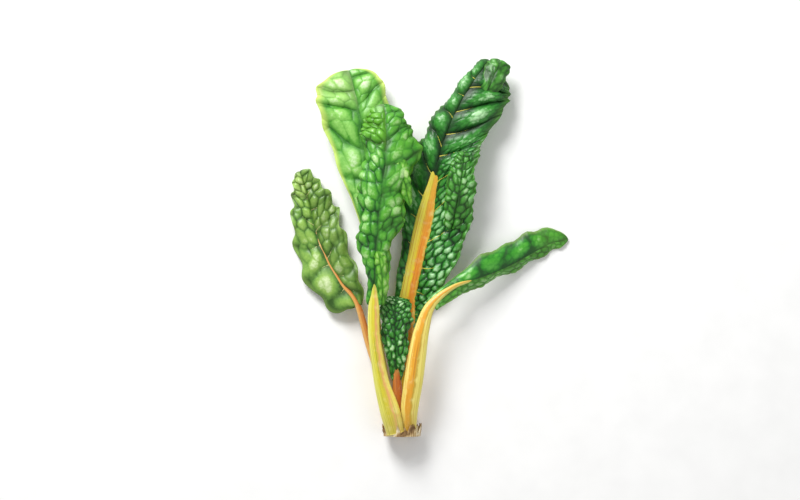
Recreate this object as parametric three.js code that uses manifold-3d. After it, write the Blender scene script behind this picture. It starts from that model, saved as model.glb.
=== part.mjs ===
// A bunch of rainbow chard: one plant with six leaves on a trimmed crown, lying on its back.
// Millimetres, +Z up. The leaf tips point to +Y and the crown's cut face looks to -Y.
import * as THREE from "three";
import { mergeVertices } from "three/addons/utils/BufferGeometryUtils.js";
import Module from "manifold-3d";

// Driving dimensions
const BLADE_THICKNESS = 0.9;
const GAP = 0.4;
const RIB_REACH = 0.92;
const LOWEST_BLADE = BLADE_THICKNESS / 2 + 0.03;
const STALK_ROUGHNESS = 0.4;
const BLADE_ROUGHNESS = 0.5;

// The crown: a short stub along +Y with a ragged papery rim
const CROWN = {
  halfWidth: 19,
  halfHeight: 14,
  length: 13,
  raggedness: 1.2,
  rags: [5, 9],
  dish: 1.5,
  sides: 28,
  profile: [0.72, 0.9, 1, 1, 0.94],
  socketShare: 0.4,
  colour: 0xd8c9a0,
  roughness: 0.8,
};

// Each leaf: stem and rib are points along the middle of its stalk, from the crown to the tip.
// width and depth are the stalk's section at those points, spaced evenly along the whole stalk.
// Each half of the blade has, from base to tip: reach (its width), sweep (how far its side veins lean
// to the tip), rise (its slope at the rib) and curl (how far it bends over by its edge), in degrees.
// waves are the ruffle at the edge: count, height and phase. quilts are the bulges between side veins.
// tip is the share of the blade's length over which it closes in to its rounded end.
const LEAVES = [
  {
    name: "left_leaf",
    stem: [[-12, 6, 6], [-20, 50, 8.5], [-33, 92, 11.5]],
    rib: [[-45, 133, 15], [-61, 154, 13], [-75, 177, 10], [-86, 203, 7], [-92, 230, 4.5], [-97, 249, 3],
      [-103, 266, 2]],
    width: [8, 8, 7.5, 6, 3.5, 2.6, 2, 1.5, 1.2, 1],
    depth: [7, 7, 6.5, 5, 3, 2.4, 2, 1.5, 1.2, 1],
    channelUp: false,
    left: { reach: [2, 25, 27, 21, 16.5, 11, 7], sweep: [-50, -25, 10, 28, 32, 30, 25],
      rise: [0, -4, -6, -6, -4, 0, 0], curl: [-10, -15, -10, 0, 0, 0, 0], waves: [4, 3, 0.1] },
    right: { reach: [2, 17, 25, 27, 20, 13, 10], sweep: [-60, -15, 15, 30, 32, 30, 25],
      rise: [20, 18, 12, 8, 8, 8, 5], curl: [-30, -35, -15, -10, -5, 0, 0], waves: [4, 3, 0.6] },
    quilts: 7, quiltHeight: 2.2, scallop: 0.05, tip: 0.12, columns: 6,
    stalkColour: 0xde9d54, bladeColour: 0x8cb450,
  },
  {
    name: "tall_leaf",
    stem: [[-11.5, 6, 14], [-18, 50, 18], [-24, 92, 18], [-28, 134, 19]],
    rib: [[-30, 174, 22], [-32, 214, 25], [-35, 252, 26], [-38, 290, 25], [-42, 322, 22], [-47, 345, 18],
      [-53, 367, 13]],
    width: [10.5, 12, 11, 9, 6, 4, 3, 2.5, 2, 1.5, 1],
    depth: [8, 8, 7, 6, 4, 3, 3, 2.5, 2, 1.5, 1],
    channelUp: false,
    left: { reach: [3, 12, 27, 38, 42, 37, 28], sweep: [10, 30, 32, 30, 25, 15, 10],
      rise: [-10, -12, -14, -16, -12, -5, 0], curl: [0, 0, 10, 25, 35, 35, 20], waves: [3, 2, 0.3] },
    right: { reach: [3, 12, 22, 30, 30, 28, 22], sweep: [10, 30, 32, 32, 28, 20, 10],
      rise: [0, 0, 0, -4, -8, -5, 0], curl: [0, -5, -10, -15, -10, 0, 0], waves: [3, 2, 0] },
    quilts: 6, quiltHeight: 3.2, scallop: 0.03, tip: 0.2, columns: 7,
    stalkColour: 0xd8c850, bladeColour: 0x85bf5d,
  },
  {
    name: "front_leaf",
    stem: [[-6.5, 4, 26], [-12, 26, 30], [-20, 54, 33], [-25, 82, 36.5], [-28, 106, 38]],
    rib: [[-28, 132, 39.5], [-27, 158, 42], [-25.5, 190, 45], [-23, 222, 47], [-19, 254, 48], [-16, 285, 45],
      [-16, 310, 41], [-18, 332, 35]],
    width: [18, 20, 15.5, 13, 12, 11, 2.6, 1.8, 1.6, 1.4, 1.3, 1.2, 1],
    depth: [10, 11, 10.5, 10, 9, 7, 2.6, 2, 1.8, 1.6, 1.4, 1.2, 1],
    channelUp: false,
    left: { reach: [3, 9, 20, 26, 23, 26, 22, 16], sweep: [10, 10, 12, 20, 30, 30, 20, 10],
      rise: [-15, -16, -18, -15, -10, -10, -10, -10], curl: [-20, -25, -35, -40, -35, -30, -20, -10],
      waves: [4, 3.5, 0.2] },
    right: { reach: [7, 13, 20, 28, 34, 33, 20, 14], sweep: [10, 10, 12, 20, 30, 30, 20, 10],
      rise: [-15, -16, -18, -15, -10, -10, -10, -10], curl: [-20, -25, -30, -35, -35, -30, -20, -10],
      waves: [4, 4.5, 0.7] },
    quilts: 7, quiltHeight: 3, scallop: 0.06, tip: 0.1, columns: 7,
    stalkColour: 0xd9cd2b, bladeColour: 0x4f9a35,
  },
  {
    name: "centre_leaf",
    stem: [[3, 6, 6], [3, 46, 4.6], [3, 78, 3.9]],
    rib: [[4, 108, 3.9], [6, 140, 6.5], [14, 178, 10], [23, 216, 13], [31, 252, 17], [39, 288, 22],
      [52, 322, 26], [69, 352, 25], [87, 377, 18]],
    width: [17, 20, 21, 20, 18, 18, 19.5, 12, 2.2, 1.8, 1.6, 1.4],
    depth: [10, 10.5, 10.5, 10.5, 10, 9, 8, 5, 2.2, 1.8, 1.6, 1.4],
    channelUp: true,
    left: { reach: [3, 8, 12, 24, 28, 22, 15, 11, 11], sweep: [0, 20, 40, 45, 42, 38, 40, 30, 0],
      rise: [10, 15, 10, -5, -15, 0, 0, 0, 0], curl: [0, -20, -30, -30, -30, -60, -70, -70, -40],
      waves: [6, 3, 0.2] },
    right: { reach: [8, 24, 38, 41, 38, 42, 45, 38, 30], sweep: [10, 15, 28, 40, 45, 36, 37, 22, 0],
      rise: [0, 8, 16, 26, 30, 0, 0, 2, 0], curl: [0, 0, -10, -10, -10, -20, -25, -30, -20],
      waves: [4, 2.5, 0.55] },
    quilts: 11, quiltHeight: 3, scallop: 0.05, tip: 0.08, columns: 7,
    stalkColour: 0xe8a128, bladeColour: 0x2f7424,
  },
  {
    name: "heart_leaf",
    stem: [[0, 14, 15], [-4, 40, 19]],
    rib: [[-5, 57, 21], [-6, 78, 24], [-7, 98, 26], [-7, 116, 26], [-7, 130, 25], [-6, 140, 23]],
    width: [8, 10, 8.5, 5, 2.5, 2, 1.5, 1],
    depth: [7, 7, 6, 4, 2.5, 2, 1.5, 1],
    channelUp: true,
    left: { reach: [1.5, 9, 13, 15, 14, 11], sweep: [-20, 0, 20, 28, 25, 10],
      rise: [-5, -10, -10, -10, -10, -5], curl: [-10, -15, -20, -20, -10, -10], waves: [3, 1.5, 0.2] },
    right: { reach: [1.5, 10, 15, 17, 15, 11], sweep: [-20, 0, 20, 28, 25, 10],
      rise: [-5, -10, -10, -10, -10, -5], curl: [-10, -15, -20, -20, -10, -10], waves: [3, 1.5, 0.6] },
    quilts: 5, quiltHeight: 1.5, scallop: 0.05, tip: 0.2, columns: 4,
    stalkColour: 0xd97e2a, bladeColour: 0x3f8a33,
  },
  {
    name: "right_leaf",
    stem: [[7.5, 4, 20], [7.5, 28, 26.5], [11.5, 56, 31.5], [15.5, 84, 34], [20, 108, 35]],
    rib: [[29, 132, 34], [51, 150, 30], [77, 159, 23], [103, 169, 15], [128, 182, 8], [149, 193, 4],
      [167, 198, 1.2]],
    width: [13, 17.5, 19, 18, 15, 10, 5, 3.5, 2.5, 2, 1.5, 1],
    depth: [10, 11, 10.5, 10, 9, 7, 5, 3, 2, 2, 1.5, 1],
    channelUp: false,
    left: { reach: [3, 6, 20, 23, 21, 17, 9], sweep: [0, 10, 20, 25, 20, 5, 0],
      rise: [-20, -10, 25, 30, 25, 15, 0], curl: [0, -20, -60, -70, -60, -40, -10], waves: [3, 1.5, 0.2] },
    right: { reach: [5, 10, 13, 12, 10, 8, 6], sweep: [-10, 5, 20, 25, 20, 10, 0],
      rise: [-10, -25, -58, -58, -45, -30, -10], curl: [0, 0, 0, 0, 0, 0, 0], waves: [5, 2, 0.6] },
    quilts: 6, quiltHeight: 1.5, scallop: 0.06, tip: 0.15, columns: 6,
    stalkColour: 0xe6b437, bladeColour: 0x4aa035,
  },
];

// Stalk sections and steps
const STALK_SIDES = 14;
const STALK_STEP = 13;
const STALK_RIDGE = 0.07;
const CHANNEL_DEPTH = 0.45;
const CHANNEL_SPREAD = 0.5;
const ROUND_SIDE = 0.1;
const FEWEST_STEPS = 6;

// Blade rows for each bulge, how they crowd to the tip, and how the bulges are rounded
const ROWS_PER_QUILT = 4;
const TIP_CROWDING = 1.3;
const QUILT_SHARPNESS = 0.8;
const QUILT_SPREAD = 0.9;
const QUILT_SHIFT = 0.08;
const QUILT_FADE = 10;

const wasm = await Module();
wasm.setup();

// A smooth value through evenly spaced ones, at t from 0 to 1
function through(values, t) {
  const last = values.length - 1;
  const place = Math.min(Math.max(t, 0), 1) * last;
  const k = Math.min(Math.floor(place), last - 1);
  const f = place - k;
  const b = values[k];
  const c = values[k + 1];
  const a = k > 0 ? values[k - 1] : 2 * b - c;
  const d = k + 2 <= last ? values[k + 2] : 2 * c - b;
  const slope = (c - a) / 2;
  const bend = a - 2.5 * b + 2 * c - d / 2;
  const twist = (d - a) / 2 + 1.5 * (b - c);
  return b + f * (slope + f * (bend + f * twist));
}

const radians = THREE.MathUtils.degToRad;

function addSpine(leaf) {
  const points = [...leaf.stem, ...leaf.rib].map((p) => new THREE.Vector3(...p));
  leaf.spine = new THREE.CatmullRomCurve3(points, false, "catmullrom", 0.5);
  leaf.bladeStart = leaf.stem.length / (points.length - 1);
}

const alongBlade = (leaf, s) => leaf.bladeStart + s * (1 - leaf.bladeStart);
const bladeRows = (leaf) => leaf.quilts * ROWS_PER_QUILT;
const slotRows = (leaf) => Math.floor(bladeRows(leaf) * RIB_REACH);
const rowPlace = (leaf, row) => 1 - (1 - row / bladeRows(leaf)) ** TIP_CROWDING;

// Centre, direction, right-hand side and upper side of the stalk at t
function spineFrame(leaf, t) {
  const centre = leaf.spine.getPoint(t);
  const along = leaf.spine.getTangent(t);
  const up = new THREE.Vector3(0, 0, 1).addScaledVector(along, -along.z).normalize();
  const across = new THREE.Vector3().crossVectors(along, up);
  return { centre, along, up, across };
}

function reachAt(leaf, half, s, phase) {
  const scallops = 1 + leaf.scallop * Math.cos(2 * Math.PI * (leaf.quilts * s + phase));
  const closing = Math.max(0, 1 - (1 - s) / leaf.tip);
  return Math.max(through(half.reach, s), 0) * Math.sqrt(1 - closing * closing) * scallops;
}

// Height of the ruffled edge and of the bulges between the side veins
function reliefAt(leaf, half, s, v, phase) {
  const [count, height, shift] = half.waves;
  const fullness = Math.sqrt(Math.sin(Math.PI * s));
  const ruffle = height * v * v * fullness * Math.sin(2 * Math.PI * (count * s + shift));
  const bulge = Math.abs(Math.sin(Math.PI * (leaf.quilts * s + phase))) ** QUILT_SHARPNESS;
  const spread = Math.sin(Math.PI * (QUILT_SPREAD * v + QUILT_SHIFT));
  return ruffle + leaf.quiltHeight * bulge * spread * Math.min(1, QUILT_FADE * (1 - s));
}

// The middle surface of one half of a blade: s runs from base to tip, v from rib to edge
function bladePoint(leaf, side, s, v, inner) {
  const half = leaf[side];
  const turn = side === "left" ? -1 : 1;
  const phase = side === "left" ? 0 : 0.5;
  const { centre, along, up, across } = spineFrame(leaf, alongBlade(leaf, s));
  const outward = across.multiplyScalar(turn);
  const sweep = radians(through(half.sweep, s));
  const rise = radians(through(half.rise, s));
  const bend = radians(through(half.curl, s)) * v;
  const lean = rise + bend / 2;
  const straight = Math.abs(bend) < 1e-6 ? 1 : Math.sin(bend / 2) / (bend / 2);
  const chord = (reachAt(leaf, half, s, phase) / Math.cos(sweep)) * v * straight;
  const relief = reliefAt(leaf, half, s, v, phase);
  return centre
    .addScaledVector(outward, inner + chord * Math.cos(sweep) * Math.cos(lean))
    .addScaledVector(up, chord * Math.cos(sweep) * Math.sin(lean))
    .addScaledVector(along, chord * Math.sin(sweep))
    .addScaledVector(up, relief * Math.cos(rise + bend))
    .addScaledVector(outward, -relief * Math.sin(rise + bend));
}

function meshGeometry(points, triangles) {
  const positions = points.flatMap((p) => [p.x, p.y, p.z]);
  const geometry = new THREE.BufferGeometry();
  geometry.setAttribute("position", new THREE.Float32BufferAttribute(positions, 3));
  geometry.setIndex(triangles.flat());
  return geometry;
}

// A sheet of triangles made into a closed solid, with both faces split alike
function thicken(points, triangles) {
  const normals = points.map(() => new THREE.Vector3());
  const edges = new Map();
  for (const [a, b, c] of triangles) {
    const ab = new THREE.Vector3().subVectors(points[b], points[a]);
    const ac = new THREE.Vector3().subVectors(points[c], points[a]);
    const normal = ab.cross(ac);
    for (const k of [a, b, c]) normals[k].add(normal);
    for (const [p, q] of [[a, b], [b, c], [c, a]]) {
      if (edges.has(`${q},${p}`)) edges.delete(`${q},${p}`);
      else edges.set(`${p},${q}`, [p, q]);
    }
  }
  const n = points.length;
  for (const normal of normals) normal.normalize();
  const offset = (height) => points.map((p, k) => p.clone().addScaledVector(normals[k], height));
  const skin = [...offset(BLADE_THICKNESS / 2), ...offset(-BLADE_THICKNESS / 2)];
  for (const p of skin) p.z = Math.max(p.z, 0);
  const faces = triangles.flatMap(([a, b, c]) => [[a, b, c], [c + n, b + n, a + n]]);
  for (const [a, b] of edges.values()) faces.push([b, a, a + n], [b, a + n, b + n]);
  return meshGeometry(skin, faces);
}

// One blade: two halves with a slot for the rib between them, joined beyond the rib's end
function bladeGeometry(leaf) {
  const rows = bladeRows(leaf);
  const points = [];
  const add = (p) => {
    p.z = Math.max(p.z, LOWEST_BLADE);
    return points.push(p) - 1;
  };
  const index = { left: [], right: [] };
  for (let i = 0; i < rows; i++) {
    const s = rowPlace(leaf, i);
    const inSlot = i <= slotRows(leaf);
    const inner = inSlot ? through(leaf.width, alongBlade(leaf, s)) / 2 + GAP : 0;
    for (const side of ["left", "right"]) {
      const row = [];
      for (let j = 0; j <= leaf.columns; j++) {
        const shared = !inSlot && j === 0 && side === "right";
        row.push(shared ? index.left[i][0] : add(bladePoint(leaf, side, s, j / leaf.columns, inner)));
      }
      index[side].push(row);
    }
  }
  const tip = add(spineFrame(leaf, 1).centre);
  const triangles = [];
  const face = (side, a, b, c) => triangles.push(side === "right" ? [a, b, c] : [c, b, a]);
  for (const side of ["left", "right"]) {
    const grid = index[side];
    for (let j = 0; j < leaf.columns; j++) {
      for (let i = 0; i + 1 < rows; i++) {
        face(side, grid[i][j], grid[i][j + 1], grid[i + 1][j + 1]);
        face(side, grid[i][j], grid[i + 1][j + 1], grid[i + 1][j]);
      }
      face(side, grid[rows - 1][j], grid[rows - 1][j + 1], tip);
    }
  }
  return thicken(points, triangles);
}

// Stalk section: an oval, ridged on its round side and hollowed on its channel side
function sectionOffset(leaf, angle, k, a, b) {
  const roundSide = leaf.channelUp ? Math.sin(angle) < -ROUND_SIDE : Math.sin(angle) > ROUND_SIDE;
  const hollow = CHANNEL_DEPTH * Math.exp(-((Math.cos(angle) / CHANNEL_SPREAD) ** 2));
  const scale = roundSide && k % 2 === 1 ? 1 - STALK_RIDGE : 1;
  const height = roundSide ? 1 : 1 - hollow;
  return [a * scale * Math.cos(angle), b * scale * height * Math.sin(angle)];
}

// Stalk with its midrib, grown by a margin where it is used to cut its socket
function stalkGeometry(leaf, margin, tEnd) {
  const steps = Math.max(FEWEST_STEPS, Math.round((leaf.spine.getLength() * tEnd) / STALK_STEP));
  const points = [];
  for (let i = 0; i <= steps; i++) {
    const t = (tEnd * i) / steps;
    const { centre, along, up, across } = spineFrame(leaf, t);
    if (i === 0) centre.addScaledVector(along, -margin);
    const a = through(leaf.width, t) / 2 + margin;
    const b = through(leaf.depth, t) / 2 + margin;
    for (let k = 0; k < STALK_SIDES; k++) {
      const [x, z] = sectionOffset(leaf, (2 * Math.PI * k) / STALK_SIDES, k, a, b);
      const p = centre.clone().addScaledVector(across, x).addScaledVector(up, z);
      p.z = Math.max(p.z, 0);
      points.push(p);
    }
  }
  const triangles = [];
  for (let i = 0; i < steps; i++) {
    for (let k = 0; k < STALK_SIDES; k++) {
      const a = i * STALK_SIDES + k;
      const b = i * STALK_SIDES + ((k + 1) % STALK_SIDES);
      triangles.push([a, a + STALK_SIDES, b + STALK_SIDES], [a, b + STALK_SIDES, b]);
    }
  }
  const end = steps * STALK_SIDES;
  for (let k = 1; k + 1 < STALK_SIDES; k++) {
    triangles.push([0, k, k + 1], [end, end + k + 1, end + k]);
  }
  return meshGeometry(points, triangles);
}

const stalkEnd = (leaf) => alongBlade(leaf, rowPlace(leaf, slotRows(leaf)));

function solidOf(geometry) {
  const merged = mergeVertices(geometry, 1e-4);
  return new wasm.Manifold(
    new wasm.Mesh({
      numProp: 3,
      vertProperties: merged.attributes.position.array,
      triVerts: new Uint32Array(merged.index.array),
    }),
  );
}

function geometryOf(solid) {
  const mesh = solid.getMesh();
  const geometry = new THREE.BufferGeometry();
  geometry.setAttribute("position", new THREE.BufferAttribute(new Float32Array(mesh.vertProperties), 3));
  geometry.setIndex(new THREE.BufferAttribute(new Uint32Array(mesh.triVerts), 1));
  return geometry;
}

// The crown before its sockets: rings along +Y, with a ragged rim
function stubGeometry() {
  const rings = CROWN.profile.length;
  const points = [];
  for (let i = 0; i < rings; i++) {
    const share = i / (rings - 1);
    for (let k = 0; k < CROWN.sides; k++) {
      const angle = (2 * Math.PI * k) / CROWN.sides;
      const waves = CROWN.rags.map((count) => Math.sin(count * angle + share));
      const rag = CROWN.raggedness * share * (waves[0] + waves[1]);
      const x = CROWN.halfWidth * CROWN.profile[i] * Math.cos(angle);
      const z = CROWN.halfHeight * (1 + CROWN.profile[i] * Math.sin(angle));
      points.push(new THREE.Vector3(x, CROWN.length * share + rag, z));
    }
  }
  const first = points.push(new THREE.Vector3(0, 0, CROWN.halfHeight)) - 1;
  const last = points.push(new THREE.Vector3(0, CROWN.length - CROWN.dish, CROWN.halfHeight)) - 1;
  const triangles = [];
  for (let k = 0; k < CROWN.sides; k++) {
    const next = (k + 1) % CROWN.sides;
    for (let i = 0; i + 1 < rings; i++) {
      const a = i * CROWN.sides;
      const b = a + CROWN.sides;
      triangles.push([a + k, b + k, b + next], [a + k, b + next, a + next]);
    }
    const rim = (rings - 1) * CROWN.sides;
    triangles.push([first, k, next], [last, rim + next, rim + k]);
  }
  return meshGeometry(points, triangles);
}

// The crown with a socket for every stalk
function crownGeometry() {
  let crown = solidOf(stubGeometry());
  for (const leaf of LEAVES) crown = crown.subtract(solidOf(stalkGeometry(leaf, GAP, CROWN.socketShare)));
  const bodies = crown.decompose().sort((a, b) => b.volume() - a.volume());
  return geometryOf(bodies[0]);
}

function addPiece(group, name, geometry, color, roughness) {
  const material = new THREE.MeshStandardMaterial({ color, roughness, metalness: 0 });
  const mesh = new THREE.Mesh(geometry, material);
  mesh.name = name;
  group.add(mesh);
}

// The plant, with its origin under the middle of its outline on the surface it lies on
function chardBunch() {
  const group = new THREE.Group();
  LEAVES.forEach(addSpine);
  for (const leaf of LEAVES) {
    const stalk = stalkGeometry(leaf, 0, stalkEnd(leaf));
    addPiece(group, `${leaf.name}_stalk`, stalk, leaf.stalkColour, STALK_ROUGHNESS);
    addPiece(group, `${leaf.name}_blade`, bladeGeometry(leaf), leaf.bladeColour, BLADE_ROUGHNESS);
  }
  addPiece(group, "crown", crownGeometry(), CROWN.colour, CROWN.roughness);
  const middle = new THREE.Box3().setFromObject(group).getCenter(new THREE.Vector3());
  group.position.set(-middle.x, -middle.y, 0);
  return group;
}

export default chardBunch();
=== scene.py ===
# Looks of a rainbow chard bunch: one plant with six crinkled leaves, lying on its back on a pale floor.
import math

import bpy
import numpy as np
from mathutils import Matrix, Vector


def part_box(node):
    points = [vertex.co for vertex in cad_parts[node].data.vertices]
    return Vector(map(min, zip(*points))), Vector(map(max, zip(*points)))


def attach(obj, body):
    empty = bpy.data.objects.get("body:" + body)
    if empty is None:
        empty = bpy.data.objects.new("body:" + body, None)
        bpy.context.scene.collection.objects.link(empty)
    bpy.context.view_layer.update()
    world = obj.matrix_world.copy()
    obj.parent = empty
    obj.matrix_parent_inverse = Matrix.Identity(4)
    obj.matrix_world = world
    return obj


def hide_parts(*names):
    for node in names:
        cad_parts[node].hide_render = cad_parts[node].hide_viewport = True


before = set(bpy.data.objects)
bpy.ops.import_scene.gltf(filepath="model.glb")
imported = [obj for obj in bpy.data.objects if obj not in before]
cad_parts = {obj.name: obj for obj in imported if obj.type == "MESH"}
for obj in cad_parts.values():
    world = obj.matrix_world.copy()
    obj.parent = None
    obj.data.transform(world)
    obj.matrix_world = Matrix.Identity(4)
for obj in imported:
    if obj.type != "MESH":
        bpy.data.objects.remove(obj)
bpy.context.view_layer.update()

MM = 0.001

# The plant is laid out in millimetres from the middle of the crown's cut face, on the floor
CROWN_LOW, CROWN_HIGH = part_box("crown")
ORIGIN = np.array([(CROWN_LOW.x + CROWN_HIGH.x) / 2, CROWN_LOW.y, 0.0])

# Camera: straight above, so that one millimetre of the plant is one pixel of the 800 x 500 frame
FRAME_WIDTH_MM = 800
VIEW_CENTRE_MM = (-2, 187, 25)
CAMERA_HEIGHT = 3.2
SENSOR = 36

# Fineness of the meshes and gaps to the floor, in millimetres
BLADE_STEP = 0.8
COLUMN_ALLOWANCE = 1.15
BLADE_THICKNESS = 0.6
STALK_STEP = 1.6
STALK_SIDES = 56
FLOOR_GAP = 0.05
SHEET_GAP = 0.1

# The two halves of a blade: which way each goes from the rib, and the shift of its bulges along the rib
HALVES = {"left": (-1, 0.0), "right": (1, 0.5)}
RIB_OVERLAP = 0.3

# How bulges, blisters and tips are rounded
TIP_CROWDING = 1.6
QUILT_SHARPNESS = 0.7
QUILT_SPREAD = 0.9
QUILT_SHIFT = 0.08
QUILT_FADE = 10
QUILT_WARP = 0.13
WARP_ACROSS = 0.6
WARP_ALONG = 2.3
CELL_TABLE = 64
CELL_START = 40
LEFT_CELL_START = 20
BUBBLE_JITTER = 0.55
BUBBLE_EDGE = 0.95
BUBBLE_WARP = 0.12
BUBBLE_SWAY = (2.1, 1.3, 1.7)
BUBBLE_SHARE = 2.5
BUBBLE_HEIGHTS = (0.6, 0.7)
BUBBLE_GROWTH = 8
BUBBLE_LEAST = 0.15
PUFF_FLOOR = 0.1
CRIMP = 0.01
FRILL = 0.7
FRILL_POWER = 6

# Stalk sections
CHANNEL_DEPTH = 0.45
CHANNEL_SPREAD = 0.5
RIDGES = 19
RIDGE_HEIGHT = 0.035
RIDGES_IN_CHANNEL = 0.25
ROUND_SIDE = (4, 0.4)
STALK_END = 0.985
GREEN_START = 0.6
GREEN_END = 1.3

# The crown: a short stub with a cut face, a ragged rim and dry papery scales round it
CROWN = dict(half_width=17.5, half_height=13, length=11.5, sides=144, rings=20, fibres=31, fibre_height=0.02,
             profile=[0.78, 0.92, 0.99, 1, 0.97, 0.9], rags=(5, 9, 17), raggedness=0.9, lip=0.8, dish=4,
             close=0.02)
SCALES = dict(count=15, seed=5, foot=0.4, height=(4, 11), half_width=(3, 6), stand_off=0.8, flare=0.12,
              half_height=17.5, rows=26, columns=25, tears=((0.14, 9), (0.08, 23)), tear_shift=7, taper=0.55,
              curl=0.5, curl_shift=6, fibres=14, scatter=0.7, foot_tone=0.4)

# Side veins: tapered tubes that lie in the creases between the bulges
VEIN = dict(radius=0.6, reach=0.55, steps=40, sides=8, lift=0.2, taper=0.85)
VEIN_MARKS = dict(across=0.3, along=0.6, groove=0, green=1.25)

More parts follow.
